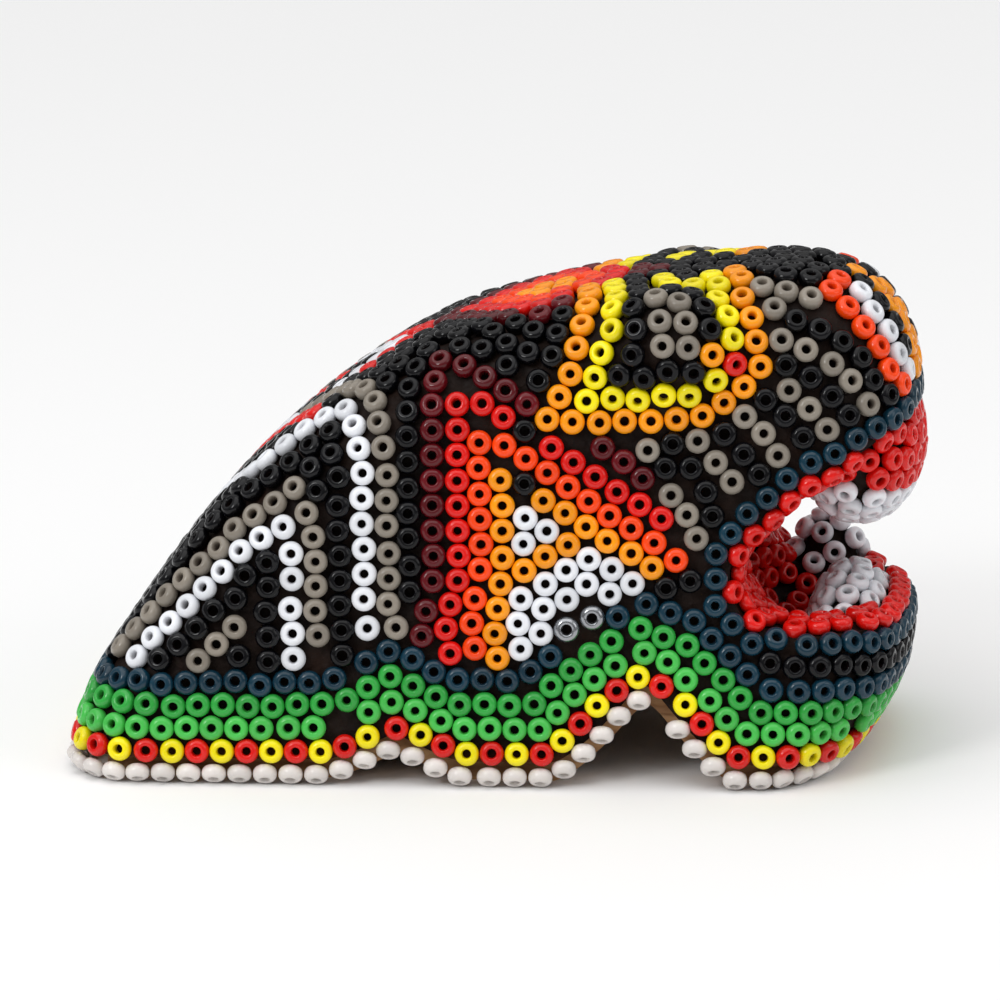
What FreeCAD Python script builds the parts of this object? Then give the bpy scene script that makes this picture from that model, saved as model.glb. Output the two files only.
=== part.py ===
"""A small Huichol beaded big-cat head: a carved hollow wooden core, a coat of beeswax, and glass seed beads.

Units are millimetres. +X points out of the snout, +Z points up, and the head is mirrored about the XZ plane.
The head rests on the scalloped lower edge of the wooden core. Right means the side at -Y.
"""

import FreeCAD, Part
import math
import os
import random

Vector = FreeCAD.Vector

# ---------------------------------------------------------------- beads and wax
BEAD_WIDTH = 2.1            # usual outside diameter of a size 11/0 seed bead
BEAD_HEIGHT = 1.26          # along its hole
BEAD_HOLE = 0.74            # diameter of the hole
BEAD_PITCH = 2.2            # from one bead to the next along a row
BEAD_GAP = 0.05             # the least gap between two neighbours
BEAD_SEAT = 0.02            # gap between a bead and the wax under it
BEAD_TILT = 5.0             # largest random lean of a bead, in degrees
BEAD_SIZES = (0.96, 0.98, 1.0, 1.02, 1.04, 1.06)    # beads differ, and wider ones go where there is room
RIM_SIZES = 3               # the rim takes only this many of the smallest
SIZE_CHANCE = 0.25          # this share of the beads is one size smaller than fits
WAX = 0.6                   # thickness of the wax coat
ROW_SQUEEZE = 0.74          # rows are first laid this tight, as a share of the least distance, then spread
FILL_SQUEEZES = (0.85, 0.82, 0.79, 0.76)    # and so are the beads between the rows, tighter each time
LAST_SQUEEZE = 0.985        # a bead that stays tighter than this is taken away
SEED = 11

TUBE = BEAD_HEIGHT / 2                  # radius of the bead's rounded outside
RING = BEAD_WIDTH / 2 - TUBE            # radius of the circle that the round outside turns about
LEVEL = BEAD_HEIGHT / 2 + BEAD_SEAT     # height of a bead's centre over the wax
COVER = BEAD_HEIGHT + BEAD_SEAT         # height of the beads' tops over the wax

# ---------------------------------------------------------------- the head, measured over its beads
AXIS_X, AXIS_Z = 2.0, -8.0  # the outline is drawn around this point, below the head
OUTLINE = (                 # side outline (x, z): jaw front, nose, forehead, back
    (27.0, -8.0), (29.4, -2.0), (31.5, 1.0), (33.0, 3.5), (34.3, 6.8), (34.7, 10.5), (34.8, 15.0),
    (35.1, 23.0), (34.9, 30.0), (34.2, 35.0), (32.4, 39.0), (29.2, 41.8), (25.0, 42.8), (17.0, 42.2),
    (8.0, 41.0), (0.3, 39.1), (-7.0, 36.7), (-13.5, 33.2), (-21.9, 26.7), (-29.2, 18.6), (-35.1, 10.3),
    (-37.7, 6.0), (-39.2, 1.0), (-39.8, -8.0),
)
HALF_WIDTH = 20.8           # half the width at the base, in the middle of the length
TAPER = 0.12                # the cheeks close in towards the snout
LEAN = 0.17                 # the cheeks lean in towards the top
CROWN = 0.003               # rise of the outline towards the middle, per mm squared
FRONT_CROWN = 0.019         # and the same for the snout and the chin
FRONT = (18.0, 32.0)        # from the first to the second over this length
EDGE_ROUND = 5.0            # radius between the cheeks and the outline, in the wax

EYE = (13.4, 10.4, 36.0)    # centre of the eye bulge (x, y, z)
EYE_SIZE = (6.8, 4.3, 5.4)  # its half sizes
EYE_BLEND = 2.0
EYE_HEART = (14.6, 37.4, 2.2)   # grey middle of the eye: x, z and radius

# ---------------------------------------------------------------- scalloped lower edge
BASE = -1.15                # height of the lobes' lowest points
CUSPS = ((-8.8, 2.5, 6.0), (12.5, 7.6, 7.8))     # (x, height, half width) of the notches between the lobes
CUSP_POWER = 1.4            # how hollow the sides of a notch are
CUSP_ROUND = 0.08           # how blunt its tip is, as a share of the half width
BAND_LEVELS = (1.0, 2.78, 4.6, 6.4, 8.2, 10.0)      # rim, red and yellow, two greens, teal and black rows
RIM_TILT = 50.0             # the rim beads look down by this many degrees
RIM_TUCK = 0.35             # and sit this much further in than the others
CHIN_START = 21.0           # the black row runs only round the chin, in front of this x
RIM_STEP = (1.5, 2.2)       # depth and height of the step in the wood and wax that they sit in

# ---------------------------------------------------------------- mouth
GAP_OUTLINE = (             # the open mouth from the side (x, z), at the wax
    (60.0, 45.5), (34.0, 30.0), (28.1, 26.2), (24.6, 24.2), (21.4, 20.9), (19.9, 19.3), (19.4, 17.6),
    (19.4, 15.6), (20.5, 13.8), (22.0, 12.6), (24.0, 12.0), (60.0, 12.0),
)
LIP_ROUND = 1.1
BOWL = ((25.4, 0.0, 12.6), (7.0, 10.2, 6.0))        # hollow of the lower jaw: centre and half sizes
THROAT = ((20.5, 0.0, 18.2), (6.5, 8.6, 5.6))
PALATE = ((26.0, 0.0, 24.5), (7.0, 7.4, 4.4))
UPPER_GUM = ((29.4, 0.0, 26.6), (4.6, 8.8, 6.3))    # with the upper teeth on its lower half
TEETH_TOP = 23.7            # the upper teeth are below this height
LOWER_TEETH = ((28.9, 0.0, 9.0), (2.8, 7.4, 5.0))
SIDE_TOOTH = ((25.8, 12.4, 12.2), (2.6, 1.7, 3.6))  # on the left rim only
MOUTH_BACK = 12.0           # the mouth is nowhere behind this x

# ---------------------------------------------------------------- hollow underside
WALL = 3.6                  # thickness of the wooden wall under the wax
HOLLOW_OUTLINE = (          # side outline (x, z) of the carved hollow, inside the wall
    (-45.0, -2.0), (-45.0, 26.0), (-6.0, 26.0), (6.0, 21.0), (9.0, 17.0), (10.5, 8.2), (16.5, 7.6),
    (18.5, 3.6), (30.0, 3.4), (31.0, -2.0),
)

RIBS, RIB_POINTS = 89, 49   # grid of points on the hull's skin
RIB_CORE = 2.0              # the ribs spread from this far off the axis point

# ---------------------------------------------------------------- where the motifs are drawn
# The motifs are drawn in one raised side view, from a point in front of the right cheek. Its drawing plane
# stands through VIEW_TARGET, with u to the right and w up, and w is VIEW_TARGET's own height there.
VIEW_TARGET = (0.0, -19.0, 23.0)
VIEW_DISTANCE = 330.0
VIEW_TURN = 9.5
VIEW_RISE = 14.0
MIDDLE_STRIP = 4.5          # nothing drawn in that view comes nearer to the middle of the head than this

# ---------------------------------------------------------------- motifs, as rows of beads (u, w)
CHEVRON_ROWS = (
    ("cheek", "grey", ((-18.6, 29.9), (-16.4, 31.4), (-13.0, 33.6), (-10.6, 33.6), (-9.7, 29.0), (-9.4, 22.0),
                       (-9.3, 10.8))),
    ("cheek", "white", ((-23.6, 24.4), (-18.6, 28.4), (-15.2, 31.0), (-12.6, 31.8), (-11.6, 27.6),
                        (-11.3, 22.0), (-11.2, 11.0))),
    ("cheek", "black", ((-30.6, 14.4), (-28.2, 17.4), (-24.2, 22.2), (-20.8, 25.2), (-14.9, 28.9),
                        (-13.6, 26.0), (-13.2, 21.0), (-13.1, 10.6))),
    ("cheek", "grey", ((-31.9, 12.0), (-27.7, 16.5), (-21.0, 22.5), (-15.9, 26.0), (-15.3, 22.0),
                       (-15.1, 10.6))),
    ("cheek", "white", ((-30.6, 10.8), (-24.0, 17.2), (-19.0, 21.4), (-17.4, 22.4), (-17.2, 18.0),
                        (-17.1, 10.6))),
    ("cheek", "black", ((-28.4, 10.5), (-23.7, 15.0), (-19.2, 19.0), (-19.2, 14.5), (-19.1, 10.5))),
    ("cheek", "grey", ((-25.6, 10.6), (-22.6, 13.4), (-21.2, 15.2))),
    ("cheek", "black", ((-7.4, 10.6), (-7.4, 33.6))),
)
SILVER_ROWS = (("flame", "silver", ((5.9, 13.2), (8.1, 14.2))),)
FLAME_ROWS = (
    ("flame", "maroon", ((-6.5, 10.6), (-5.8, 16.0), (-5.4, 33.6), (-4.6, 36.9), (2.6, 32.3))),
    ("flame", "red", ((-4.5, 10.7), (-3.8, 16.0), (-3.6, 33.8), (0.6, 31.2))),
    ("flame", "orange", ((-2.2, 9.3), (-2.2, 11.7), (-1.7, 20.0), (-1.6, 30.4), (14.9, 18.9))),
    ("flame", "amber", ((-0.3, 10.3), (-0.3, 15.6), (0.1, 19.5), (0.5, 26.6), (12.9, 18.1))),
    ("flame", "red", ((4.6, 28.6), (13.9, 22.4))),
    ("flame", "maroon", ((9.0, 28.6), (12.6, 26.2))),
    ("flame", "white", ((2.3, 20.5), (2.6, 22.6), (4.6, 21.5))),
    ("flame", "amber", ((2.3, 18.2), (6.6, 20.4))),
    ("flame", "white", ((2.0, 15.8), (8.4, 19.1))),
    ("flame", "white", ((1.8, 13.6), (10.1, 18.1))),
    ("flame", "white", ((1.7, 11.1), (3.8, 12.1))),
    ("flame", "white", ((9.6, 15.7), (11.3, 17.0))),
)
EYE_ROWS = (
    ("eye", "red", ((20.2, 36.0), (20.7, 36.5))),
    ("eye", "amber", ((18.0, 36.5), (18.7, 36.7))),
    ("eye", "amber", ((8.3, 43.2), (7.8, 41.1), (7.3, 39.3), (6.6, 37.2), (6.2, 35.0), (5.3, 33.0),
                      (4.2, 31.1), (15.0, 30.9), (16.7, 31.7), (18.9, 32.7), (20.7, 34.0), (22.6, 35.1),
                      (22.4, 36.8), (21.9, 38.3), (20.8, 41.4), (20.3, 42.8), (20.0, 44.4), (17.5, 44.9),
                      (14.6, 43.3))),
    ("eye", "yellow", ((10.0, 43.0), (10.1, 40.9), (9.7, 39.1), (9.0, 37.2), (8.6, 35.0), (7.5, 33.0),
                       (13.9, 33.0), (15.9, 33.6), (18.3, 34.7))),
    ("eye", "yellow", ((20.1, 37.9), (18.6, 41.7), (18.3, 43.1), (16.5, 42.2), (14.0, 42.9), (12.0, 43.3))),
    ("eye", "black", ((12.4, 41.6), (12.1, 39.5), (11.6, 37.5), (11.2, 35.4), (16.6, 35.5))),
    ("eye", "grey", ((14.0, 41.0), (13.7, 39.3), (13.3, 37.2), (16.6, 37.3))),
    ("eye", "grey", ((15.6, 40.4), (16.2, 38.9))),
    ("eye", "black", ((17.6, 40.6), (17.9, 38.2))),
)
MUZZLE_ROWS = (
    ("muzzle", "grey", ((12.9, 28.4), (13.6, 26.4), (14.7, 24.6), (16.2, 22.9), (17.0, 20.9))),
    ("muzzle", "black", ((14.9, 29.0), (16.4, 26.9), (17.9, 24.6), (18.6, 22.5))),
    ("muzzle", "grey", ((17.0, 29.2), (18.3, 27.3), (19.9, 25.9), (20.7, 23.6))),
    ("muzzle", "black", ((19.3, 29.8), (21.0, 28.0), (22.4, 26.0))),
    ("muzzle", "grey", ((20.9, 31.4), (22.7, 29.8), (23.9, 27.9))),
    ("muzzle", "black", ((22.8, 33.1), (24.6, 31.6), (26.0, 29.5))),
    ("muzzle", "grey", ((24.9, 33.7), (26.7, 32.1), (28.2, 30.2))),
    ("muzzle", "black", ((24.7, 35.9), (26.6, 34.9), (28.4, 33.1), (30.1, 31.4))),
    ("muzzle", "grey", ((24.0, 38.0), (26.1, 37.1), (28.1, 35.7), (30.0, 34.3), (31.5, 32.6))),
    ("muzzle", "black", ((25.6, 39.0), (27.9, 37.8), (30.0, 36.7), (31.6, 35.0), (32.9, 33.1))),
    ("muzzle", "grey", ((23.2, 40.2), (25.3, 40.1), (27.5, 39.4), (29.7, 38.4))),
    ("muzzle", "grey", ((22.4, 42.3), (24.6, 41.9), (26.6, 41.5))),
    ("muzzle", "black", ((22.4, 43.9), (24.4, 43.4), (26.4, 43.0))),
    ("muzzle", "grey", ((20.6, 45.4), (23.7, 44.9), (25.7, 44.3), (27.7, 43.8))),
    ("nose", "orange", ((30.1, 44.6), (29.9, 43.0), (28.4, 42.2), (29.3, 41.0), (31.0, 39.7), (32.1, 37.8),
                        (33.0, 35.8), (34.2, 34.2))),
    ("nose", "white", ((31.8, 42.7), (30.8, 41.4), (32.0, 40.1), (33.2, 38.6), (34.0, 36.7), (35.0, 35.2))),
    ("nose", "black", ((32.8, 41.2), (34.0, 39.2), (34.9, 37.0))),
)
FLAME_HEART = (1.5, 10.5, 20.0)     # the white heart of the flame: from x, to x, up to z

# ---------------------------------------------------------------- crown motifs, drawn from above (x, y)
DIAMONDS = (                # (x of the centre, half length, half width, colours from the outside in)
    (1.5, 9.6, 10.2, ("maroon", "red", "orange", "amber", "white")),
    (-17.5, 8.6, 10.4, ("red", "white", "black", "red")),
)
DIAMOND_STEP = 2.55         # from one ring of a diamond to the next, along the length


# ================================================================ the shape of the waxed head
def spline_slopes(xs, ys):
    """Second derivatives of the natural cubic spline through the points."""
    count = len(xs)
    second = [0.0] * count
    work = [0.0] * count
    for i in range(1, count - 1):
        share = (xs[i] - xs[i - 1]) / (xs[i + 1] - xs[i - 1])
        pivot = share * second[i - 1] + 2.0
        second[i] = (share - 1.0) / pivot
        ahead = (ys[i + 1] - ys[i]) / (xs[i + 1] - xs[i])
        behind = (ys[i] - ys[i - 1]) / (xs[i] - xs[i - 1])
        work[i] = (6.0 * (ahead - behind) / (xs[i + 1] - xs[i - 1]) - share * work[i - 1]) / pivot
    for i in range(count - 2, -1, -1):
        second[i] = second[i] * second[i + 1] + work[i]
    return second


def spline_value(xs, ys, second, x):
    k = 1
    while k < len(xs) - 1 and xs[k] < x:
        k += 1
    step = xs[k] - xs[k - 1]
    a = (xs[k] - x) / step
    b = 1.0 - a
    bend = ((a ** 3 - a) * second[k - 1] + (b ** 3 - b) * second[k]) * step * step / 6.0
    return a * ys[k - 1] + b * ys[k] + bend


def outline_table():
    """Radius of the outline around the axis point for every whole degree, with its steepness."""
    angles = [math.degrees(math.atan2(z - AXIS_Z, x - AXIS_X)) for x, z in OUTLINE]
    radii = [math.hypot(x - AXIS_X, z - AXIS_Z) for x, z in OUTLINE]
    second = spline_slopes(angles, radii)
    table = [spline_value(angles, radii, second, a) for a in range(181)]
    steep = []
    for a in range(181):
        low, high = max(a - 1, 0), min(a + 1, 180)
        slope = (table[high] - table[low]) / math.radians(high - low)
        steep.append(table[a] / math.hypot(table[a], slope))
    return table, steep


RADIUS, STEEP = outline_table()
SIDE_COS = 1.0 / math.sqrt(1.0 + LEAN * LEAN + TAPER * TAPER)


def round_max(a, b, radius):
    """Where two shapes meet, their common part, with the edge rounded."""
    u = max(a + radius, 0.0)
    v = max(b + radius, 0.0)
    return min(-radius, max(a, b)) + math.sqrt(u * u + v * v)


def smooth_min(a, b, blend):
    """Two shapes joined, with a soft hollow between them."""
    h = max(blend - abs(a - b), 0.0) / blend
    return min(a, b) - h * h * blend * 0.25


def ellipsoid(x, y, z, centre, size):
    """About the distance from an ellipsoid, negative inside it."""
    px, py, pz = (x - centre[0]) / size[0], (y - centre[1]) / size[1], (z - centre[2]) / size[2]
    near = math.sqrt(px * px + py * py + pz * pz)
    slope = math.sqrt((px / size[0]) ** 2 + (py / size[1]) ** 2 + (pz / size[2]) ** 2)
    return near * (near - 1.0) / slope if slope > 1e-9 else -min(size)


def hull(x, y, z, inset=0.0):
    """Distance from the waxed head without its mouth, or from the same shape this much smaller."""
    dx, dz = x - AXIS_X, z - AXIS_Z
    turn = math.degrees(math.atan2(dz, dx)) if dz > 0 or dx > 0 else 180.0
    turn = min(max(turn, 0.0), 179.999)
    k = int(turn)
    part = turn - k
    radius = RADIUS[k] * (1.0 - part) + RADIUS[k + 1] * part
    steep = STEEP[k] * (1.0 - part) + STEEP[k + 1] * part
    front = min(max((x - FRONT[0]) / (FRONT[1] - FRONT[0]), 0.0), 1.0)
    crown = CROWN + (FRONT_CROWN - CROWN) * front * front * (3.0 - 2.0 * front)
    outline = (math.sqrt(dx * dx + dz * dz) + crown * y * y - radius) * steep
    cheek = (abs(y) - (HALF_WIDTH - TAPER * x - LEAN * z)) * SIDE_COS
    shape = round_max(outline + COVER + inset, cheek + COVER + inset, EDGE_ROUND)
    if abs(x - EYE[0]) < 12.0 and z > EYE[2] - 12.0:
        bulge = tuple(size - COVER - inset for size in EYE_SIZE)
        shape = smooth_min(shape, ellipsoid(x, abs(y), z, EYE, bulge), EYE_BLEND)
    return shape


def outline_distance(points, x, z):
    """Signed distance from a closed outline in the XZ plane, negative inside."""
    best = 1e9
    inside = False
    x0, z0 = points[-1]
    for x1, z1 in points:
        ex, ez = x1 - x0, z1 - z0
        share = ((x - x0) * ex + (z - z0) * ez) / (ex * ex + ez * ez)
        share = min(max(share, 0.0), 1.0)
        best = min(best, (x - x0 - share * ex) ** 2 + (z - z0 - share * ez) ** 2)
        if (z0 > z) != (z1 > z) and x < x0 + (z - z0) / (z1 - z0) * ex:
            inside = not inside
        x0, z0 = x1, z1
    return -math.sqrt(best) if inside else math.sqrt(best)


def gap(x, z):
    """Distance from the open mouth, seen from the side."""
    return outline_distance(GAP_OUTLINE, x, z)


def head(x, y, z):
    """Distance from the waxed head with its mouth and teeth."""
    value = hull(x, y, z)
    if x < MOUTH_BACK:
        return value
    space = gap(x, z)
    for centre, size in (BOWL, THROAT, PALATE):
        space = smooth_min(space, ellipsoid(x, y, z, centre, size), 1.0)
    value = round_max(value, -space, LIP_ROUND)
    for centre, size in (UPPER_GUM, LOWER_TEETH, SIDE_TOOTH):
        value = smooth_min(value, ellipsoid(x, y, z, centre, size), 0.6)
    return value


def slope(field, p):
    """Gradient of a field at a point."""
    x, y, z = p
    h = 0.03
    return (
        (field(x + h, y, z) - field(x - h, y, z)) / (2 * h),
        (field(x, y + h, z) - field(x, y - h, z)) / (2 * h),
        (field(x, y, z + h) - field(x, y, z - h)) / (2 * h),
    )


def unit(v):
    size = math.sqrt(v[0] * v[0] + v[1] * v[1] + v[2] * v[2]) or 1.0
    return (v[0] / size, v[1] / size, v[2] / size)


def cross(a, b):
    return (a[1] * b[2] - a[2] * b[1], a[2] * b[0] - a[0] * b[2], a[0] * b[1] - a[1] * b[0])


def dot(a, b):
    return a[0] * b[0] + a[1] * b[1] + a[2] * b[2]


def along(p, direction, step):
    return (p[0] + direction[0] * step, p[1] + direction[1] * step, p[2] + direction[2] * step)


def settle(field, p, level, turns=3):
    """Moves a point onto the level surface of a field."""
    for _ in range(turns):
        miss = field(*p) - level
        if abs(miss) < 0.002:
            break
        g = slope(field, p)
        size = dot(g, g)
        if size < 0.05:
            break
        p = along(p, g, -miss / size)
    return p


def edge_height(x):
    """Height of the scalloped lower edge."""
    rises = []
    for at, high, wide in CUSPS:
        near = max(0.0, 1.0 - math.hypot((x - at) / wide, CUSP_ROUND))
        rises.append(high * near ** CUSP_POWER)
    return BASE + max(rises)


EDGE_STEP = 0.4
EDGE_START = -48.0
EDGE_POINTS = [
    (EDGE_START + i * EDGE_STEP, edge_height(EDGE_START + i * EDGE_STEP)) for i in range(int(96 / EDGE_STEP))
]


def above_edge(x, y, z):
    """Distance over the scalloped edge, seen from the side."""
    first = max(int((x - 12.0 - EDGE_START) / EDGE_STEP), 0)
    last = min(int((x + 12.0 - EDGE_START) / EDGE_STEP), len(EDGE_POINTS))
    near = min((x - ex) ** 2 + (z - ez) ** 2 for ex, ez in EDGE_POINTS[first:last])
    return math.sqrt(near) if z > edge_height(x) else -math.sqrt(near)


def beside_mouth(x, y, z):
    return gap(x, z)


# ================================================================ placing beads
class Bead:
    """One bead: its centre, the direction of its hole, and the node that it belongs to."""

    fixed = False

    def __init__(self, centre, axis, group, colour):
        self.centre = centre
        self.axis = axis
        self.group = group
        self.colour = colour


def least_distance(a, b):
    """How near the centres of two neighbours may come, given how far they lean apart."""
    turn = max(-1.0, min(1.0, dot(a.axis, b.axis)))
    return 2.0 * (RING * math.sqrt((1.0 + turn) / 2.0) + TUBE) + BEAD_GAP


class Bench:
    """The beads placed so far, in a grid of cells for quick neighbour searches."""

    CELL = 2.4

    def __init__(self):
        self.beads = []
        self.cells = {}

    def cell(self, p):
        return tuple(int(math.floor(c / self.CELL)) for c in p)

    def near(self, p):
        i, j, k = self.cell(p)
        for a in (i - 1, i, i + 1):
            for b in (j - 1, j, j + 1):
                for c in (k - 1, k, k + 1):
                    yield from self.cells.get((a, b, c), ())

    def add(self, bead):
        self.beads.append(bead)
        self.cells.setdefault(self.cell(bead.centre), []).append(bead)

    def free(self, bead, share=1.0):
        return all(
            math.dist(bead.centre, other.centre) >= least_distance(bead, other) * share
            for other in self.near(bead.centre)
        )

    def regrid(self):
        self.cells = {}
        for bead in self.beads:
            self.cells.setdefault(self.cell(bead.centre), []).append(bead)


def make_bead(p, group, colour):
    return Bead(p, unit(slope(head, p)), group, colour)


def trace(field, level, start, forward, length=400.0, step=0.35):
    """Follows a level line of a second field round the beaded surface, as closely spaced points."""
    p = start
    for _ in range(6):
        p = settle(field, p, level, 1)
        p = settle(head, p, LEVEL, 2)
    points = [p]
    heading = forward
    travelled = 0.0
    while travelled < length:
        side = unit(cross(slope(head, p), slope(field, p)))
        if dot(side, heading) < 0:
            side = (-side[0], -side[1], -side[2])
        q = along(p, side, step)
        for _ in range(2):
            q = settle(field, q, level, 1)
            q = settle(head, q, LEVEL, 1)
        travelled += math.dist(p, q)
        heading = unit((q[0] - p[0], q[1] - p[1], q[2] - p[2]))
        p = q
        points.append(p)
        if travelled > 20.0 and math.dist(p, points[0]) < step:
            break
    return points


def space_out(points, pitch, closed):
    """Points at even spacing along a line, as near to the pitch as fits."""
    total = sum(math.dist(a, b) for a, b in zip(points, points[1:]))
    count = max(int(total / pitch + (0.0 if closed else 0.5)), 1)
    even = total / count
    places = []
    run = 0.0
    goal = 0.0
    for a, b in zip(points, points[1:]):
        piece = math.dist(a, b)
        while piece > 0 and goal <= run + piece and len(places) < count + (0 if closed else 1):
            share = (goal - run) / piece
            places.append(tuple(p + (q - p) * share for p, q in zip(a, b)))
            goal += even
        run += piece
    if not closed and len(places) < count + 1:
        places.append(points[-1])
    return places


# ---------------------------------------------------------------- the raised side view
def view_frame():
    turn, rise = math.radians(VIEW_TURN), math.radians(VIEW_RISE)
    back = (math.sin(turn) * math.cos(rise), -math.cos(turn) * math.cos(rise), math.sin(rise))
    right = (math.cos(turn), math.sin(turn), 0.0)
    up = cross(back, right)
    return back, right, up


VIEW_BACK, VIEW_RIGHT, VIEW_UP = view_frame()
VIEWPOINT = along(VIEW_TARGET, VIEW_BACK, VIEW_DISTANCE)


def cast(u, w, mirrored):
    """Where the line of sight through a drawn point meets the beads, or None."""
    aim = along(along(VIEW_TARGET, VIEW_RIGHT, u), VIEW_UP, w - VIEW_TARGET[2])
    ray = unit(tuple(a - b for a, b in zip(aim, VIEWPOINT)))
    reach = VIEW_DISTANCE - 30.0
    for _ in range(60):
        p = along(VIEWPOINT, ray, reach)
        left = head(*p) - LEVEL
        if left < 0.004 or reach > VIEW_DISTANCE + 90.0:
            break
        reach += left * 0.85
    if left > 0.3 or p[1] > -MIDDLE_STRIP:
        return None
    return (p[0], -p[1], p[2]) if mirrored else p


def cast_down(x, y):
    """The beaded surface over a point of the plan, from above."""
    z = 60.0
    for _ in range(80):
        left = head(x, y, z) - LEVEL
        if left < 0.004:
            return (x, y, z)
        z -= left * 0.8
        if z < 5.0:
            return None
    return (x, y, z)


def drawn_line(corners, place, step=0.3):
    """A drawn polyline laid on the head, as closely spaced points."""
    points = []
    for (u0, w0), (u1, w1) in zip(corners, corners[1:]):
        count = max(int(math.hypot(u1 - u0, w1 - w0) / step), 1)
        for i in range(count + (1 if (u1, w1) == corners[-1] else 0)):
            share = i / count
            p = place(u0 + (u1 - u0) * share, w0 + (w1 - w0) * share)
            if p is not None:
                points.append(p)
    return points


# ---------------------------------------------------------------- rows and fills
def lay_row(bench, points, group, colours, closed=False, start_x=-99.0):
    """Lays beads along a line, taking the colours in turn, wherever there is room in front of start_x."""
    for i, p in enumerate(space_out(points, BEAD_PITCH, closed)):
        bead = make_bead(settle(head, p, LEVEL), group, colours[i % len(colours)])
        if bead.centre[0] > start_x and bench.free(bead, ROW_SQUEEZE):
            bench.add(bead)


def rim_beads(bench):
    """The lowest row, which keeps its place on the edge."""
    return [bead for bead in bench.beads if bead.group == "band" and bead.colour == "white"]


def lay_bands(bench):
    """The rows that run right round the scalloped edge, from the rim up."""
    start = (0.0, -24.0, 5.0)
    colours = (("white",), ("red", "yellow"), ("light_green",), ("green",), ("teal",))
    for level, colour in zip(BAND_LEVELS, colours):
        points = trace(above_edge, level, start, (1.0, 0.0, 0.0))
        lay_row(bench, points, "band", colour, closed=True)
    chin = trace(above_edge, BAND_LEVELS[-1], start, (1.0, 0.0, 0.0))
    lay_row(bench, chin, "chin", ("black",), closed=True, start_x=CHIN_START)
    for bead in rim_beads(bench):
        bead.fixed = True


def lay_lips(bench):
    """The teal row that frames the open mouth, round both corners, the nose and the chin."""
    start = (26.0, -16.0, 11.0)
    points = trace(beside_mouth, BEAD_WIDTH / 2 + 0.1, start, (1.0, 0.0, 0.0))
    lay_row(bench, points, "lips", ("teal",), closed=True)


def lay_motifs(bench, rows):
    """The drawn rows, on the right side and mirrored on the left."""
    for mirrored in (False, True):
        side = "left" if mirrored else "right"
        for group, colour, corners in rows:
            colour = "white" if colour == "silver" and mirrored else colour
            points = drawn_line(corners, lambda u, w: cast(u, w, mirrored))
            if len(points) > 2:
                lay_row(bench, points, side + "_" + group, (colour,))


def lay_diamonds(bench):
    """Nested diamonds on the crown."""
    for centre, long, wide, colours in DIAMONDS:
        for i, colour in enumerate(colours):
            a = long - i * DIAMOND_STEP
            if a <= 0.4:
                continue
            b = wide * a / long
            corners = ((centre - a, 0.0), (centre, b), (centre + a, 0.0), (centre, -b), (centre - a, 0.0))
            points = drawn_line(corners, cast_down)
            lay_row(bench, points, "crown", (colour,), closed=True)


def fill_colour(p, axis):
    """Group and colour of a bead that fills the space between the drawn rows, or None off the head."""
    x, y, z = p
    side = "left" if y > 0 else "right"
    over = above_edge(x, y, z)
    if over < BAND_LEVELS[0] - 0.2:
        return None
    for centre, size in (UPPER_GUM, LOWER_TEETH, SIDE_TOOTH):
        if ellipsoid(x, y, z, centre, size) < LEVEL + 0.5:
            if centre is not UPPER_GUM[0]:
                return ("lower_teeth", "white")
            return ("upper_teeth", "white") if z < TEETH_TOP else ("palate", "red")
    if x > MOUTH_BACK and hull(x, y, z) < LEVEL - 0.25:
        return ("palate" if z > 19.0 + 0.3 * (x - 19.0) else "lower_mouth", "red")
    if over < BAND_LEVELS[4] + 0.8:
        return ("band", "green")
    if x > 27.5 and z > 28.0 and axis[0] > 0.35:
        if abs(y) > 5.4:
            return ("nose", "white")
        return ("nose", "black") if abs(y) > 2.4 else ("nose", "amber")
    if ellipsoid(x, abs(y), z, EYE, EYE_SIZE) < LEVEL + COVER:
        away = math.hypot(x - EYE_HEART[0], z - EYE_HEART[1])
        return (side + "_eye", "grey" if away < EYE_HEART[2] else "black")
    if x > 15.0 and z > 18.0:
        return (side + "_muzzle", "black")
    if FLAME_HEART[0] < x < FLAME_HEART[1] and z < FLAME_HEART[2]:
        return (side + "_flame", "white")
    if axis[2] > 0.62 or abs(y) < 6.0:
        return ("crown", "black")
    return (side + "_cheek", "black")


def fill(bench, squeeze):
    """Fills what is left, outward from the rows already laid, each bead touching two others."""
    front = list(bench.beads)
    done = 0
    while done < len(front):
        a = front[done]
        done += 1
        for b in list(bench.near(a.centre)):
            apart = math.dist(a.centre, b.centre)
            if b is a or apart > BEAD_PITCH * 1.75:
                continue
            middle = tuple((p + q) / 2 for p, q in zip(a.centre, b.centre))
            line = unit(tuple(q - p for p, q in zip(a.centre, b.centre)))
            out = unit(cross(line, unit(slope(head, middle))))
            reach = math.sqrt(max(BEAD_PITCH ** 2 - apart * apart / 4, 0.3))
            for sign in (1.0, -1.0):
                p = settle(head, along(middle, out, sign * reach), LEVEL, 4)
                if abs(head(*p) - LEVEL) > 0.05:
                    continue
                axis = unit(slope(head, p))
                what = fill_colour(p, axis)
                if what is None:
                    continue
                bead = Bead(p, axis, what[0], what[1])
                if bench.free(bead, squeeze):
                    bench.add(bead)
                    front.append(bead)


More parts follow.
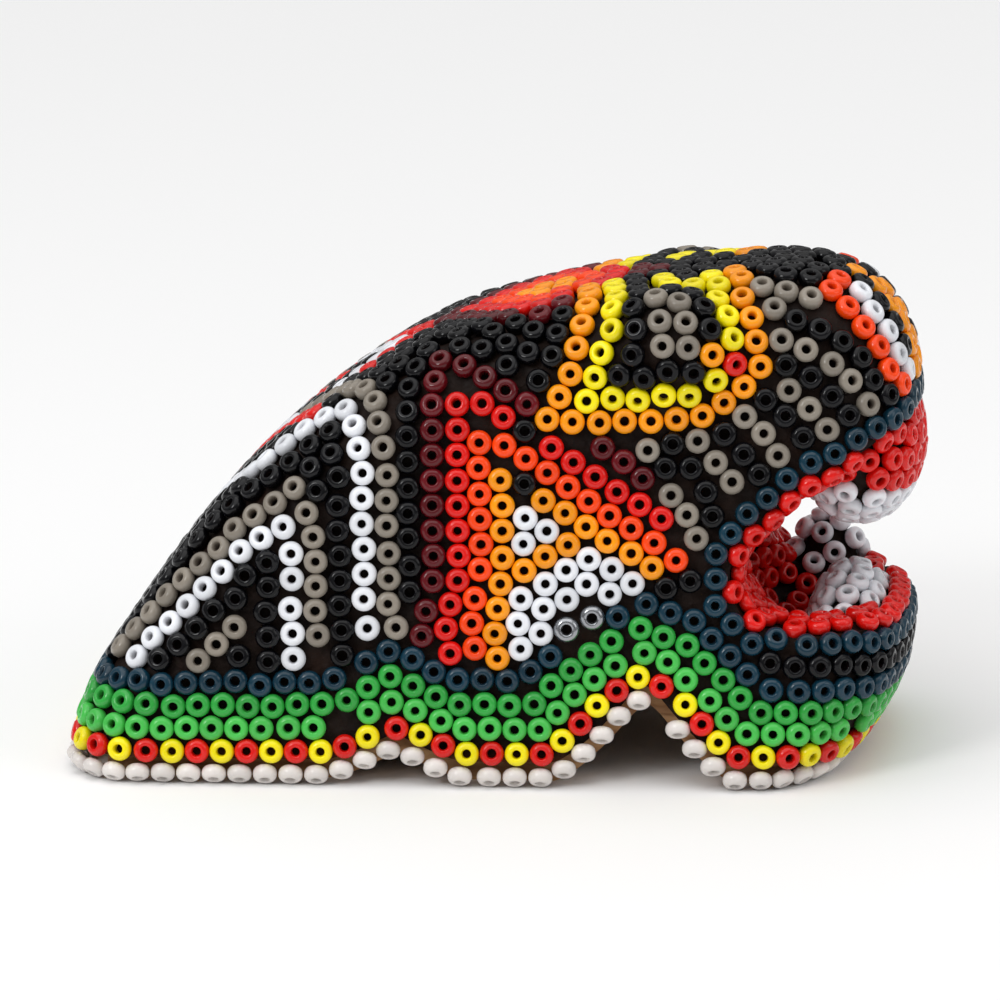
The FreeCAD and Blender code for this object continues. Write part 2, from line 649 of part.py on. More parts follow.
def relax(bench, turns):
    """Neighbours that are too near push each other along the wax."""
    for _ in range(turns):
        moves = []
        for bead in bench.beads:
            push = [0.0, 0.0, 0.0]
            for other in bench.near(bead.centre):
                if other is bead:
                    continue
                apart = math.dist(bead.centre, other.centre)
                short = least_distance(bead, other) + 0.01 - apart
                if short > 0:
                    for i in range(3):
                        push[i] += (bead.centre[i] - other.centre[i]) / (apart or 1.0) * short * 0.45
            moves.append(push)
        for bead, push in zip(bench.beads, moves):
            if any(push) and not bead.fixed:
                bead.centre = settle(head, along(bead.centre, push, 1.0), LEVEL)
                bead.axis = unit(slope(head, bead.centre))
        bench.regrid()


def thin_out(bench):
    """Takes away each bead that still presses into a neighbour, the last placed first."""
    keep = Bench()
    for bead in bench.beads:
        if keep.free(bead, LAST_SQUEEZE):
            keep.add(bead)
    return keep


def tip_rim(bench):
    """Turns the lowest row to look down and out, as beads pressed over the edge do."""
    lean = math.radians(RIM_TILT)
    for bead in rim_beads(bench):
        n = unit((bead.axis[0], bead.axis[1], 0.0))
        bead.axis = unit((n[0] * math.cos(lean), n[1] * math.cos(lean), -math.sin(lean)))
        bead.centre = along(bead.centre, n, -RIM_TUCK)


def place_beads():
    bench = Bench()
    lay_lips(bench)
    lay_motifs(bench, SILVER_ROWS)
    lay_bands(bench)
    lay_motifs(bench, EYE_ROWS + FLAME_ROWS + CHEVRON_ROWS + MUZZLE_ROWS)
    lay_diamonds(bench)
    relax(bench, 40)
    for squeeze in FILL_SQUEEZES:
        fill(bench, squeeze)
        relax(bench, 25)
    bench = thin_out(bench)
    tip_rim(bench)
    return bench.beads


# ================================================================ solids
def bead_solid(scale):
    """One bead about the Z axis: round outside, straight hole. A wide one is no taller than usual."""
    tube = TUBE * min(scale, 1.0)
    ring = BEAD_WIDTH / 2 * scale - tube
    hole = BEAD_HOLE / 2 * scale
    rise = math.sqrt(tube * tube - (ring - hole) ** 2)
    top, bottom = Vector(hole, 0, rise), Vector(hole, 0, -rise)
    outside = Part.Arc(top, Vector(ring + tube, 0, 0), bottom).toShape()
    wall = Part.LineSegment(bottom, top).toShape()
    return Part.Face(Part.Wire([outside, wall])).revolve(Vector(0, 0, 0), Vector(0, 0, 1), 360)


def place_solid(solid, bead, chance):
    """A copy of the bead where it belongs, leaning a little at random."""
    lean = math.radians(chance.uniform(-BEAD_TILT, BEAD_TILT))
    about = unit(cross(bead.axis, (chance.uniform(-1, 1), chance.uniform(-1, 1), chance.uniform(-1, 1))))
    axis = Vector(*unit(along(bead.axis, about, math.sin(lean))))
    turned = FreeCAD.Placement(Vector(*bead.centre), FreeCAD.Rotation(Vector(0, 0, 1), axis))
    return solid.transformed(turned.toMatrix(), True)


def size_step(bench, bead, chance):
    """Which of the bead sizes fits between a bead's neighbours."""
    room = min(
        (math.dist(bead.centre, other.centre) for other in bench.near(bead.centre) if other is not bead),
        default=BEAD_WIDTH * 2,
    )
    fits = sum(1 for size in BEAD_SIZES if size * BEAD_WIDTH <= room - BEAD_GAP)
    if bead.fixed:
        fits = min(fits, RIM_SIZES)
    if chance.random() < SIZE_CHANCE:
        fits -= 1
    return max(fits - 1, 0)


def bead_nodes(beads):
    chance = random.Random(SEED)
    solids = [bead_solid(scale) for scale in BEAD_SIZES]
    bench = Bench()
    for bead in beads:
        bench.add(bead)
    nodes = {}
    for bead in beads:
        name = bead.group + "_" + bead.colour
        solid = solids[size_step(bench, bead, chance)]
        nodes.setdefault(name, []).append(place_solid(solid, bead, chance))
    return {name + "_beads": Part.makeCompound(parts) for name, parts in nodes.items()}


# ---------------------------------------------------------------- wood and wax
def hull_face(inset):
    """The hull's skin, open below the base, as one smooth face through a grid of points."""
    grid = []
    for i in range(RIBS):
        turn = math.radians(3.0 + 174.0 * i / (RIBS - 1))
        out_x, out_z = math.cos(turn), math.sin(turn)
        line = []
        for j in range(RIB_POINTS):
            spread = math.radians(-80.0 + 160.0 * j / (RIB_POINTS - 1))
            low, high = 0.0, 90.0
            for _ in range(28):
                reach = (low + high) / 2
                radial = RIB_CORE + reach * math.cos(spread)
                p = (AXIS_X + radial * out_x, reach * math.sin(spread), AXIS_Z + radial * out_z)
                if hull(*p, inset) > 0:
                    high = reach
                else:
                    low = reach
            line.append(Vector(*p))
        grid.append(line)
    skin = Part.BSplineSurface()
    skin.interpolate(grid)
    return skin.toShape()


def hull_solid(inset):
    """The hull cut level just below the base, as a solid."""
    block = Part.makeBox(100, 80, 70, Vector(-50, -40, BASE - 0.3))
    pieces, _ = block.generalFuse([hull_face(inset)])
    return min(pieces.Solids, key=lambda solid: abs(solid.CenterOfMass.x) + abs(solid.CenterOfMass.z - 18.0))


def prism(outline, wide=40.0):
    """A closed outline in the XZ plane, drawn out across the whole width."""
    corners = [Vector(x, -wide, z) for x, z in outline]
    face = Part.Face(Part.makePolygon(corners + corners[:1]))
    return face.extrude(Vector(0, 2 * wide, 0))


def below_edge(lift):
    """Everything under the scalloped edge, raised by a lift."""
    edges = []
    low = lift + BASE
    last = Vector(-50, -40, low)
    for at, _, wide in CUSPS:
        for start, end in ((at - wide, at), (at, at + wide)):
            steps = [start + (end - start) * i / 8 for i in range(9)]
            points = [Vector(x, -40, lift + edge_height(x)) for x in steps]
            if start < at and (points[0] - last).Length > 0.01 and points[0].x > last.x:
                edges.append(Part.LineSegment(last, points[0]).toShape())
            if points[-1].x <= last.x:
                continue
            curve = Part.BSplineCurve()
            curve.interpolate(points)
            edges.append(curve.toShape())
            last = points[-1]
    corners = [last, Vector(50, -40, low), Vector(50, -40, -20), Vector(-50, -40, -20)]
    corners.append(edges[0].Vertexes[0].Point)
    for a, b in zip(corners, corners[1:]):
        if (a - b).Length > 0.01:
            edges.append(Part.LineSegment(a, b).toShape())
    return Part.Face(Part.Wire(Part.__sortEdges__(edges))).extrude(Vector(0, 80, 0))


def ellipsoid_solid(centre, size, grow=0.0):
    ball = Part.makeSphere(1.0)
    stretch = FreeCAD.Matrix()
    stretch.scale(size[0] + grow, size[1] + grow, size[2] + grow)
    stretch.move(Vector(*centre))
    return ball.transformGeometry(stretch)


def carved(inset):
    """The head with its mouth and teeth, this far inside the waxed surface."""
    wedge = Part.Face(Part.makePolygon([Vector(x, -40, z) for x, z in GAP_OUTLINE + GAP_OUTLINE[:1]]))
    if inset > 0:
        wedge = wedge.makeOffset2D(inset)
    space = wedge.extrude(Vector(0, 80, 0))
    space = space.fuse([ellipsoid_solid(centre, size, inset) for centre, size in (BOWL, THROAT, PALATE)])
    teeth = [
        ellipsoid_solid(centre, size, -inset)
        for centre, size in (UPPER_GUM, LOWER_TEETH, SIDE_TOOTH)
        if min(size) > inset
    ]
    return hull_solid(inset).cut(space).fuse(teeth)


def wood_core(body):
    """The carved wooden head: stepped round the rim for the lowest beads, hollow underneath."""
    depth, height = RIM_STEP
    outer = body.cut(below_edge(height))
    inner = carved(WAX + depth).cut(below_edge(0.0))
    hollow = hull_solid(WAX + WALL).common(prism(HOLLOW_OUTLINE))
    return outer.fuse(inner).cut(hollow).removeSplitter()


def wax_coat(body):
    """The beeswax skin between the wood and the beads, down to the step in the rim."""
    return carved(0.0).cut(body).cut(below_edge(RIM_STEP[1]))


def middle(beads, i):
    """Half way between the outermost beads along one axis."""
    reach = [RING * math.sqrt(max(1.0 - bead.axis[i] ** 2, 0.0)) + TUBE for bead in beads]
    low = min(bead.centre[i] - r for bead, r in zip(beads, reach))
    high = max(bead.centre[i] + r for bead, r in zip(beads, reach))
    return (low + high) / 2


def main():
    os.makedirs("parts", exist_ok=True)
    beads = place_beads()
    body = carved(WAX)
    nodes = {"wood_core": wood_core(body), "wax_coat": wax_coat(body)}
    nodes.update(bead_nodes(beads))
    home = Vector(-middle(beads, 0), -middle(beads, 1), -BASE)
    for name, shape in nodes.items():
        shape.translate(home)
        shape.exportStep(os.path.join("parts", name + ".step"))
        print(name, len(shape.Solids), round(shape.Volume, 1), shape.isValid())
    print(len(beads), "beads, moved by", home)


main()
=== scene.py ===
"""Looks of the beaded big-cat head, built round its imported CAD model. Lengths are in metres.

Each CAD bead is replaced, in its own place, by a finer bead with a rounded hole. The wax between the
beads and the wooden core keep their CAD shape and get procedural materials.
"""
import math

import bpy
import numpy as np
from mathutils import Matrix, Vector
from mathutils.bvhtree import BVHTree
from mathutils.kdtree import KDTree


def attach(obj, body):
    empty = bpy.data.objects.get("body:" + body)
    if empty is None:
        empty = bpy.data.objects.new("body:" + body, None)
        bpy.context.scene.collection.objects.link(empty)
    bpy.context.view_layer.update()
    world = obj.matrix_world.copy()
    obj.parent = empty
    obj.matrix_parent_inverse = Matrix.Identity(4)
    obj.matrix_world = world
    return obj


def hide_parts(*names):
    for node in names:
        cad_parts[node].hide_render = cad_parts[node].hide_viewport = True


MM = 0.001

# One glass bead, across its hole and along it.
BEAD_RADIUS = 1.05 * MM
BEAD_HALF_HEIGHT = 0.63 * MM
HOLE_RADIUS = 0.345 * MM
BEAD_PEAK = 0.50 * MM           # radius at which the bead is tallest
BEAD_LARGEST = 1.14 * MM        # a fine bead is as wide as its nearest neighbour allows, up to this radius
BEAD_PRESS = 0.01 * MM          # and it presses this far into the gap's other half
OUTER_SQUARENESS = 2.25         # 2 is an ellipse, more is squarer
INNER_SQUARENESS = 2.0
BEAD_STEPS_AROUND = 28
BEAD_STEPS_OUTSIDE = 9
BEAD_STEPS_INSIDE = 5
HEIGHT_SPREAD = 0.05            # handmade beads differ in height,
OVAL_SPREAD = 0.012             # in roundness
HOLE_SPREAD = 0.07              # and in the size of the hole
RANDOM_SEED = 7
WELD = 1e-6                     # CAD points nearer than this are one point
SORT_STEP = 0.05 * MM           # beads are put in order by their places to this fineness

# The camera looks at the head's right side, from a little in front of it and above.
CAMERA_TARGET = Vector((2.05, -19.03, 24.15)) * MM
CAMERA_OFFSET = (0.255 * MM, 1.2 * MM)      # the picture's middle is this far right of and above the target
CAMERA_DISTANCE = 330 * MM
CAMERA_TURN = math.radians(9.5)
CAMERA_RISE = math.radians(14.0)
PICTURE_WIDTH = 85 * MM         # what the picture holds at the target
SENSOR_WIDTH = 36.0

# Brightness of the light tent: at the level of the horizon, overhead, and as the camera sees it.
TENT_SIDE = 0.22
TENT_TOP = 0.7
TENT_SEEN = 0.94

# The tent's roof: a very soft light from overhead, a little towards the camera.
OVERHEAD_POWER = 1.25
OVERHEAD_SPREAD = math.radians(75.0)
OVERHEAD_TILT = (math.radians(14.0), math.radians(-6.0), 0.0)

# Two smaller lamps that shape the beads: name, place, size and power.
LAMPS = (
    ("front_left", (-0.28, -0.42, 0.34), 0.16, 0.9),
    ("right", (0.5, -0.2, 0.3), 0.3, 0.4),
)
LAMP_TARGET = (0.0, 0.0, 0.02)
FLOOR_RADIUS = 12.0

# Colours as they look on screen, from 0 to 255.
GLASS_COLOURS = {
    "white": (226, 228, 233),
    "rim_white": (222, 216, 212),
    "yellow": (243, 226, 8),
    "red": (216, 18, 12),
    "orange": (246, 68, 8),
    "amber": (245, 150, 8),
    "maroon": (90, 12, 20),
    "teal": (13, 48, 64),
    "green": (46, 158, 62),
    "light_green": (70, 186, 78),
    "grey": (134, 126, 115),
    "black": (7, 7, 10),
}
SILVER_LINING = (158, 160, 164)
WAX_DARK = (19, 11, 8)
WAX_BROWN = (35, 20, 12)
WAX_GRIT = (26, 14, 10)
WAX_SMEAR_AND_SHADE = (74, 44, 24)        # on the beads: smeared wax and painted shade, low on them and in their holes
WAX_THIN = (146, 92, 60)        # over the pale wood at the rim
WOOD_PALE = (196, 152, 104)
WOOD_BROWN = (150, 104, 62)
WOOD_STREAK = (112, 72, 42)
WOOD_STAIN = (104, 66, 38)

WAX_RIM = (0.8 * MM, 3.2 * MM)  # the wax is thin below the first height, and thick above the second


def linear(colour):
    """Scene colour of a screen colour."""
    shares = [c / 255.0 for c in colour]
    return tuple(s / 12.92 if s <= 0.04045 else ((s + 0.055) / 1.055) ** 2.4 for s in shares) + (1.0,)


# ---------------------------------------------------------------- node helpers

def new_material(name):
    """A material with its shader and a node adder."""
    material = bpy.data.materials.new(name)
    material.use_nodes = True
    tree = material.node_tree
    shader = tree.nodes["Principled BSDF"]
    return material, tree, shader


def add_node(tree, kind, **inputs):
    """A node with its input values set by name."""
    node = tree.nodes.new(kind)
    for name, value in inputs.items():
        node.inputs[name.replace("_", " ")].default_value = value
    return node


def add_noise(tree, coordinates, scale, detail=2.0, distortion=0.0):
    """Cloudy noise from 0 to 1, with this many clouds to a metre."""
    noise = add_node(tree, "ShaderNodeTexNoise", Scale=scale, Detail=detail, Distortion=distortion)
    tree.links.new(coordinates, noise.inputs["Vector"])
    return noise.outputs["Fac"]


def add_range(tree, value, low, high, to_low, to_high):
    """value stretched from low..high to to_low..to_high."""
    stretch = tree.nodes.new("ShaderNodeMapRange")
    tree.links.new(value, stretch.inputs["Value"])
    stretch.inputs["From Min"].default_value = low
    stretch.inputs["From Max"].default_value = high
    stretch.inputs["To Min"].default_value = to_low
    stretch.inputs["To Max"].default_value = to_high
    return stretch.outputs["Result"]


def add_math(tree, operation, first, second):
    """One sum of two values, each a number or an output."""
    node = tree.nodes.new("ShaderNodeMath")
    node.operation = operation
    for socket, value in zip(node.inputs, (first, second)):
        if isinstance(value, (int, float)):
            socket.default_value = value
        else:
            tree.links.new(value, socket)
    return node.outputs["Value"]


def add_mix(tree, share, first, second):
    """first where share is 0, second where it is 1. Both are colours or colour outputs."""
    mix = tree.nodes.new("ShaderNodeMix")
    mix.data_type = "RGBA"
    sockets = [s for s in mix.inputs if s.type == "RGBA"]
    tree.links.new(share, mix.inputs["Factor"])
    for socket, value in zip(sockets, (first, second)):
        if isinstance(value, tuple):
            socket.default_value = value
        else:
            tree.links.new(value, socket)
    return next(s for s in mix.outputs if s.type == "RGBA")


def add_bump(tree, shader, height, distance, strength):
    """Small relief on a surface."""
    bump = add_node(tree, "ShaderNodeBump", Distance=distance, Strength=strength)
    tree.links.new(height, bump.inputs["Height"])
    tree.links.new(bump.outputs["Normal"], shader.inputs["Normal"])


def attribute(tree, name):
    """A value that the mesh carries at each point."""
    node = tree.nodes.new("ShaderNodeAttribute")
    node.attribute_name = name
    return node.outputs["Fac"]


def object_coordinates(tree):
    return tree.nodes.new("ShaderNodeTexCoord").outputs["Object"]


# ---------------------------------------------------------------- materials

def bead_glass(name, colour, tone=0.12, roughness=0.14, smear_and_shade_strength=0.5, metallic=0.0, shine_level=0.42):
    """Glossy glass whose tone differs from bead to bead, with brown smeared wax and painted shade low on it
    and in its hole.
    """
    material, tree, shader = new_material(name)
    place = object_coordinates(tree)
    base = linear(colour)
    dark = tuple(c * (1.0 - tone) for c in base[:3]) + (1.0,)
    light = tuple(min(c * (1.0 + tone), 1.0) for c in base[:3]) + (1.0,)
    body = add_mix(tree, attribute(tree, "bead_tone"), dark, light)
    cloud = add_range(tree, add_noise(tree, place, 900.0, 3.0, 0.6), 0.35, 0.75, 0.0, 0.35)
    body = add_mix(tree, cloud, body, dark)
    spots = add_range(tree, add_noise(tree, place, 2600.0, 2.0), 0.48, 0.62, 0.0, 1.0)
    # Smeared wax and painted shade, low on the bead and on its hole's wall, darken the glass towards brown.
    smear_and_shade_share = add_math(tree, "MULTIPLY", attribute(tree, "bead_wax_and_shade"), add_math(tree, "ADD", spots, 0.35))
    smear_and_shade_share = add_math(tree, "MULTIPLY", smear_and_shade_share, smear_and_shade_strength)
    body = add_mix(tree, smear_and_shade_share, body, linear(WAX_SMEAR_AND_SHADE))
    tree.links.new(body, shader.inputs["Base Color"])
    shine = add_range(tree, add_noise(tree, place, 1500.0, 3.0), 0.3, 0.8, roughness, roughness + 0.14)
    shine = add_math(tree, "ADD", shine, add_math(tree, "MULTIPLY", smear_and_shade_share, 0.3))
    tree.links.new(shine, shader.inputs["Roughness"])
    shader.inputs["Metallic"].default_value = metallic
    shader.inputs["IOR"].default_value = 1.5
    shader.inputs["Specular IOR Level"].default_value = shine_level
    add_bump(tree, shader, add_noise(tree, place, 1100.0, 2.0), 0.06 * MM, 0.5)
    return material


def beeswax(name):
    """Dark brown wax and resin, greasy and uneven."""
    material, tree, shader = new_material(name)
    place = object_coordinates(tree)
    patches = add_range(tree, add_noise(tree, place, 260.0, 4.0, 0.8), 0.35, 0.7, 0.0, 1.0)
    body = add_mix(tree, patches, linear(WAX_DARK), linear(WAX_BROWN))
    split = tree.nodes.new("ShaderNodeSeparateXYZ")
    tree.links.new(place, split.inputs["Vector"])
    rim = add_range(tree, split.outputs["Z"], WAX_RIM[1], WAX_RIM[0], 0.0, 1.0)
    body = add_mix(tree, rim, body, linear(WAX_THIN))
    grit = add_range(tree, add_noise(tree, place, 3200.0, 2.0), 0.58, 0.7, 0.0, 0.7)
    body = add_mix(tree, grit, body, linear(WAX_GRIT))
    tree.links.new(body, shader.inputs["Base Color"])
    shine = add_range(tree, add_noise(tree, place, 900.0, 3.0), 0.3, 0.7, 0.5, 0.8)
    tree.links.new(shine, shader.inputs["Roughness"])
    shader.inputs["Specular IOR Level"].default_value = 0.15
    lumps = add_noise(tree, place, 1400.0, 4.0, 0.4)
    add_bump(tree, shader, lumps, 0.25 * MM, 0.8)
    return material


def carved_wood(name):
    """Pale brown wood with its grain along the head, tool marks and a few darker streaks."""
    material, tree, shader = new_material(name)
    place = object_coordinates(tree)
    along = add_node(tree, "ShaderNodeMapping", Scale=(0.12, 1.0, 1.0))
    tree.links.new(place, along.inputs["Vector"])
    grain_place = along.outputs["Vector"]
    rings = add_node(tree, "ShaderNodeTexWave", Scale=170.0, Distortion=5.0, Detail=3.0, Detail_Scale=1.4)
    rings.bands_direction = "Z"
    tree.links.new(grain_place, rings.inputs["Vector"])
    ring = rings.outputs["Fac"]
    fibre = add_noise(tree, grain_place, 2600.0, 4.0, 0.2)
    late_wood = add_range(tree, ring, 0.2, 0.9, 0.0, 0.75)
    body = add_mix(tree, late_wood, linear(WOOD_PALE), linear(WOOD_BROWN))
    streaks = add_range(tree, fibre, 0.45, 0.7, 0.0, 0.55)
    body = add_mix(tree, streaks, body, linear(WOOD_STREAK))
    stain = add_range(tree, add_noise(tree, place, 60.0, 3.0, 0.5), 0.45, 0.7, 0.0, 0.45)
    body = add_mix(tree, stain, body, linear(WOOD_STAIN))
    tree.links.new(body, shader.inputs["Base Color"])
    shine = add_range(tree, fibre, 0.3, 0.7, 0.55, 0.8)
    tree.links.new(shine, shader.inputs["Roughness"])
    relief = add_math(tree, "ADD", add_math(tree, "MULTIPLY", fibre, 0.5), ring)
    add_bump(tree, shader, relief, 0.12 * MM, 0.7)
    return material


def glass_materials():
    """One glass per bead colour."""
    made = {}
    for colour, value in GLASS_COLOURS.items():
        made[colour] = bead_glass(colour + "_glass", value)
    made["maroon"] = bead_glass("maroon_glass", GLASS_COLOURS["maroon"], tone=0.3, roughness=0.08, smear_and_shade_strength=0.3,
                                shine_level=0.35)
    made["teal"] = bead_glass("teal_glass", GLASS_COLOURS["teal"], tone=0.22, roughness=0.12, smear_and_shade_strength=0.3,
                              shine_level=0.4)
    made["black"] = bead_glass("black_glass", GLASS_COLOURS["black"], tone=0.4, roughness=0.1, smear_and_shade_strength=0.15,
                               shine_level=0.25)
    made["grey"] = bead_glass("grey_glass", GLASS_COLOURS["grey"], tone=0.16, roughness=0.14)
    made["silver"] = bead_glass("silver_lined_glass", SILVER_LINING, tone=0.1, roughness=0.12, smear_and_shade_strength=0.5,
                                metallic=0.9)
    return made


# ---------------------------------------------------------------- beads

def signed_power(values, power):
    return np.sign(values) * np.abs(values) ** power


def bead_section():
    """Points (radius, height, hole) round one side of a bead's section, with hole 1 on the hole's wall."""
    outside = np.linspace(-0.5, 0.5, BEAD_STEPS_OUTSIDE) * math.pi
    inside = np.linspace(0.5, 1.5, BEAD_STEPS_INSIDE + 2)[1:-1] * math.pi
    rows = []
    for angle in outside:
        radius = BEAD_PEAK + (BEAD_RADIUS - BEAD_PEAK) * signed_power(math.cos(angle), 2.0 / OUTER_SQUARENESS)
        height = BEAD_HALF_HEIGHT * signed_power(math.sin(angle), 2.0 / OUTER_SQUARENESS)
        rows.append((radius, height, 0.0))
    for angle in inside:
        radius = BEAD_PEAK + (BEAD_PEAK - HOLE_RADIUS) * signed_power(math.cos(angle), 2.0 / INNER_SQUARENESS)
        height = BEAD_HALF_HEIGHT * signed_power(math.sin(angle), 2.0 / INNER_SQUARENESS)
        rows.append((radius, height, min(1.0, -1.25 * math.cos(angle))))
    return np.array(rows, float)


def bead_faces(section_count):
    """Quads between neighbouring sections, as point numbers of one bead."""
    quads = []
    for i in range(BEAD_STEPS_AROUND):
        j = (i + 1) % BEAD_STEPS_AROUND
        for k in range(section_count):
            m = (k + 1) % section_count
            quads.append((i * section_count + k, j * section_count + k, j * section_count + m,
                          i * section_count + m))
    return np.array(quads, int)


def loose_parts(mesh):
    """Welded points of a CAD mesh and, for each point, the number of the loose part it is on."""
    points = np.empty(len(mesh.vertices) * 3, np.float32)
    mesh.vertices.foreach_get("co", points)
    keys = np.round(points.reshape(-1, 3) / WELD).astype(np.int64)
    keys, weld = np.unique(keys, axis=0, return_inverse=True)
    weld = weld.ravel()
    ends = np.empty(len(mesh.edges) * 2, np.int64)
    mesh.edges.foreach_get("vertices", ends)
    first, second = weld[ends.reshape(-1, 2)].T
    parent = np.arange(len(keys))
    while True:
        low = np.minimum(parent[first], parent[second])
        high = np.maximum(parent[first], parent[second])
        if (low == high).all():
            break
        np.minimum.at(parent, high, low)
        np.minimum.at(parent, first, low)
        np.minimum.at(parent, second, low)
        parent = parent[parent]
    numbers = np.unique(parent, return_inverse=True)[1].ravel()
    return keys * WELD, numbers


def bead_places(mesh, wax):
    """Centre, outward axis and radius of each bead in a CAD mesh, in an order that meshing doesn't change."""
    points, numbers = loose_parts(mesh)
    count = np.bincount(numbers)
    centres = np.stack([np.bincount(numbers, points[:, k]) / count for k in range(3)], axis=1)
    offsets = points - centres[numbers]
    spread = np.empty((len(count), 3, 3))
    for row in range(3):
        for column in range(3):
            spread[:, row, column] = np.bincount(numbers, offsets[:, row] * offsets[:, column]) / count
    axes = np.linalg.eigh(spread)[1][:, :, 0]
    for i, centre in enumerate(centres):
        nearest = wax.find_nearest(Vector(centre))[0]
        if np.dot(axes[i], centre - np.array(nearest)) < 0.0:
            axes[i] = -axes[i]
    heights = (offsets * axes[numbers]).sum(axis=1)
    radii = np.zeros(len(count))
    np.maximum.at(radii, numbers, np.sqrt((offsets ** 2).sum(axis=1) - heights ** 2))
    order = np.lexsort(np.round(centres / SORT_STEP).T)
    return centres[order], axes[order], radii[order]


def bead_mesh(name, centres, axes, radii, random):
    """One mesh with a finely shaped bead at each place."""
    section = bead_section()
    turn = np.linspace(0.0, 2.0 * math.pi, BEAD_STEPS_AROUND, endpoint=False)
    points, tones, smear_shade_values = [], [], []
    for centre, axis, bead_radius in zip(centres, axes, radii):
        width = bead_radius / BEAD_RADIUS
        height = 1.0 + HEIGHT_SPREAD * random.uniform(-1.0, 0.4)
        oval = OVAL_SPREAD * random.uniform(-1.0, 1.0)
        hole = HOLE_SPREAD * random.uniform(-1.0, 1.0)
        spin = random.uniform(0.0, 2.0 * math.pi)
        side = np.cross(axis, (0.31, 0.87, 0.39))
        side /= np.linalg.norm(side)
        across = np.cross(axis, side)
        radius = section[:, 0] * width + hole * HOLE_RADIUS * np.clip(section[:, 2] * 1.6, 0.0, 1.0)
        reach = np.outer(1.0 + oval * np.cos(2.0 * (turn - spin)), radius)
        right = reach * np.cos(turn)[:, None]
        ahead = reach * np.sin(turn)[:, None]
        up = np.broadcast_to(section[:, 1] * height, right.shape)
        local = right[..., None] * side + ahead[..., None] * across + up[..., None] * axis
        points.append((local + centre).reshape(-1, 3))
        tones.append(np.full(right.size, random.uniform(0.0, 1.0)))
        # Where smeared wax and painted shade go: low on the bead, where it sinks into the wax, and on its
        # hole's wall.
        low = np.clip(-0.15 - up / BEAD_HALF_HEIGHT, 0.0, 1.0)
        wall = np.broadcast_to(section[:, 2], right.shape) * np.clip(0.9 - up / BEAD_HALF_HEIGHT, 0.0, 1.0)
        smear_shade_values.append(np.clip(low + 0.9 * wall, 0.0, 1.0).ravel())
    quads = bead_faces(len(section))
    steps = np.arange(len(centres)) * (len(section) * BEAD_STEPS_AROUND)
    faces = (quads[None] + steps[:, None, None]).reshape(-1, 4)
    mesh = bpy.data.meshes.new(name)
    mesh.from_pydata(np.concatenate(points), [], faces)
    mesh.shade_smooth()
    for label, values in (("bead_tone", tones), ("bead_wax_and_shade", smear_shade_values)):
        layer = mesh.attributes.new(label, "FLOAT", "POINT")
        layer.data.foreach_set("value", np.concatenate(values).astype(np.float32))
    mesh.validate()
    return mesh


def colour_of(node):
    """The bead colour that a node's name ends in."""
    if node == "band_white_beads":
        return "rim_white"
    matches = [c for c in [*GLASS_COLOURS, "silver"] if node.endswith(f"_{c}_beads")]
    return max(matches, key=len)


def half_gaps(centres):
    """Half the distance from each centre to the nearest other one."""
    tree = KDTree(len(centres))
    for i, centre in enumerate(centres):
        tree.insert(centre, i)
    tree.balance()
    return np.array([tree.find_n(centre, 2)[1][2] / 2.0 for centre in centres])


def make_beads(nodes, glass):
    """Replaces every CAD node of beads by a node of finer beads, each grown until it meets a neighbour."""
    wax = BVHTree.FromObject(nodes["wax_coat"], bpy.context.evaluated_depsgraph_get())
    random = np.random.default_rng(RANDOM_SEED)
    names = sorted(n for n in nodes if n.endswith("_beads"))
    places = {node: bead_places(nodes[node].data, wax) for node in names}
    gaps = half_gaps(np.concatenate([places[node][0] for node in names])) + BEAD_PRESS
    done = 0
    for node in names:
        centres, axes, radii = places[node]
        radii = np.clip(gaps[done:done + len(radii)], radii, BEAD_LARGEST)
        done += len(radii)
        piece = bpy.data.objects.new("fine_" + node, bead_mesh(node, centres, axes, radii, random))
        bpy.context.scene.collection.objects.link(piece)
        colour = colour_of(node)
        piece.data.materials.append(glass[colour])
        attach(piece, "root")
        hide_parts(node)


# ---------------------------------------------------------------- wax and wood

def set_material(piece, material):
    piece.data.materials.clear()
    piece.data.materials.append(material)


# ---------------------------------------------------------------- floor, lights and camera

def make_floor():
    """A wide plain floor, which isn't part of the object."""
    bpy.ops.mesh.primitive_circle_add(vertices=96, radius=FLOOR_RADIUS, fill_type="NGON")
    floor = bpy.context.object
    floor.name = "floor"
    material, tree, shader = new_material("pale_floor")
    shader.inputs["Base Color"].default_value = linear((247, 247, 247))
    shader.inputs["Roughness"].default_value = 0.75
    floor.data.materials.append(material)


def add_area_light(name, place, size, power):
    """A square lamp that faces the head."""
    light = bpy.data.lights.new(name, "AREA")
    light.size = size
    light.energy = power
    lamp = bpy.data.objects.new(name, light)
    lamp.location = place
    lamp.rotation_euler = (Vector(LAMP_TARGET) - Vector(place)).to_track_quat("-Z", "Y").to_euler()
    bpy.context.scene.collection.objects.link(lamp)


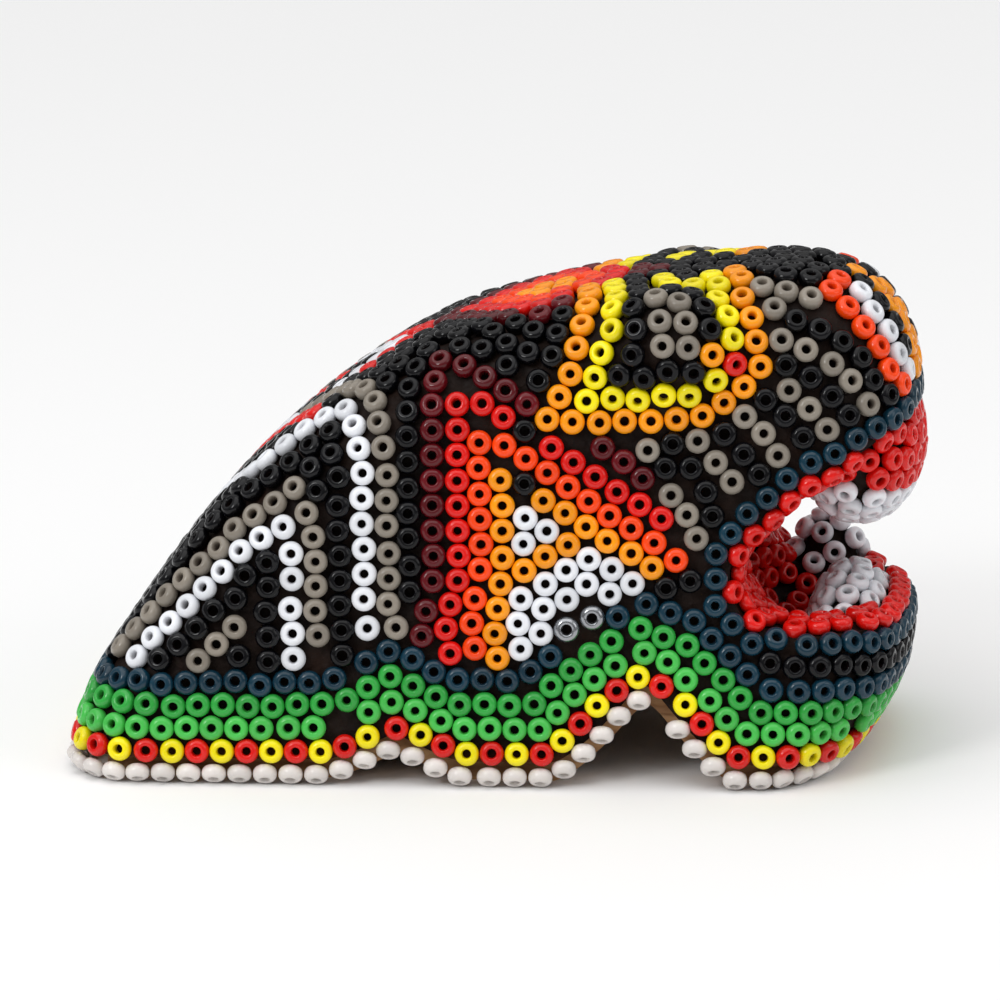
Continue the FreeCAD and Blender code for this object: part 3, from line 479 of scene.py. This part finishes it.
def make_lights():
    """A light tent: pale all round, a very soft light from its roof and a small lamp on each side."""
    world = bpy.data.worlds.new("tent")
    world.use_nodes = True
    tree = world.node_tree
    split = tree.nodes.new("ShaderNodeSeparateXYZ")
    tree.links.new(tree.nodes.new("ShaderNodeTexCoord").outputs["Generated"], split.inputs["Vector"])
    glow = add_range(tree, split.outputs["Z"], 0.1, 0.9, TENT_SIDE, TENT_TOP)
    seen = tree.nodes.new("ShaderNodeLightPath").outputs["Is Camera Ray"]
    strength = add_math(tree, "MAXIMUM", glow, add_math(tree, "MULTIPLY", seen, TENT_SEEN))
    tree.links.new(strength, tree.nodes["Background"].inputs["Strength"])
    tree.nodes["Background"].inputs["Color"].default_value = (1.0, 1.0, 1.0, 1.0)
    bpy.context.scene.world = world
    sky = bpy.data.lights.new("overhead", "SUN")
    sky.energy = OVERHEAD_POWER
    sky.angle = OVERHEAD_SPREAD
    roof = bpy.data.objects.new("overhead", sky)
    roof.rotation_euler = OVERHEAD_TILT
    bpy.context.scene.collection.objects.link(roof)
    for name, place, size, power in LAMPS:
        add_area_light(name, place, size, power)


def make_camera():
    """The camera, which looks at the target from a distance and puts it a little off the picture's middle."""
    level = math.cos(CAMERA_RISE)
    back = Vector((math.sin(CAMERA_TURN) * level, -math.cos(CAMERA_TURN) * level, math.sin(CAMERA_RISE)))
    right = Vector((math.cos(CAMERA_TURN), math.sin(CAMERA_TURN), 0.0))
    up = back.cross(right)
    place = CAMERA_TARGET + back * CAMERA_DISTANCE
    aim = CAMERA_TARGET + right * CAMERA_OFFSET[0] + up * CAMERA_OFFSET[1]
    lens = bpy.data.cameras.new("camera")
    lens.sensor_width = SENSOR_WIDTH
    lens.lens = SENSOR_WIDTH * CAMERA_DISTANCE / PICTURE_WIDTH
    lens.clip_start = 0.01
    camera = bpy.data.objects.new("camera", lens)
    camera.location = place
    camera.rotation_euler = (aim - place).to_track_quat("-Z", "Y").to_euler()
    bpy.context.scene.collection.objects.link(camera)
    bpy.context.scene.camera = camera


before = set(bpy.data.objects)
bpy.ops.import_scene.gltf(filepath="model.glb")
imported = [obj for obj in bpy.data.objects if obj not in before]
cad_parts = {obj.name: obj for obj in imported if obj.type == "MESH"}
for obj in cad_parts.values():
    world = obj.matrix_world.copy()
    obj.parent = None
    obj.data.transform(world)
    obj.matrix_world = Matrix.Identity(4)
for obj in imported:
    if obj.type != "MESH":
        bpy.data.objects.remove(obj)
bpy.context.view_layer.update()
make_beads(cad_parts, glass_materials())
set_material(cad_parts["wax_coat"], beeswax("beeswax"))
set_material(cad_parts["wood_core"], carved_wood("wood"))
make_floor()
make_lights()
make_camera()
bpy.context.scene.view_settings.view_transform = "Standard"
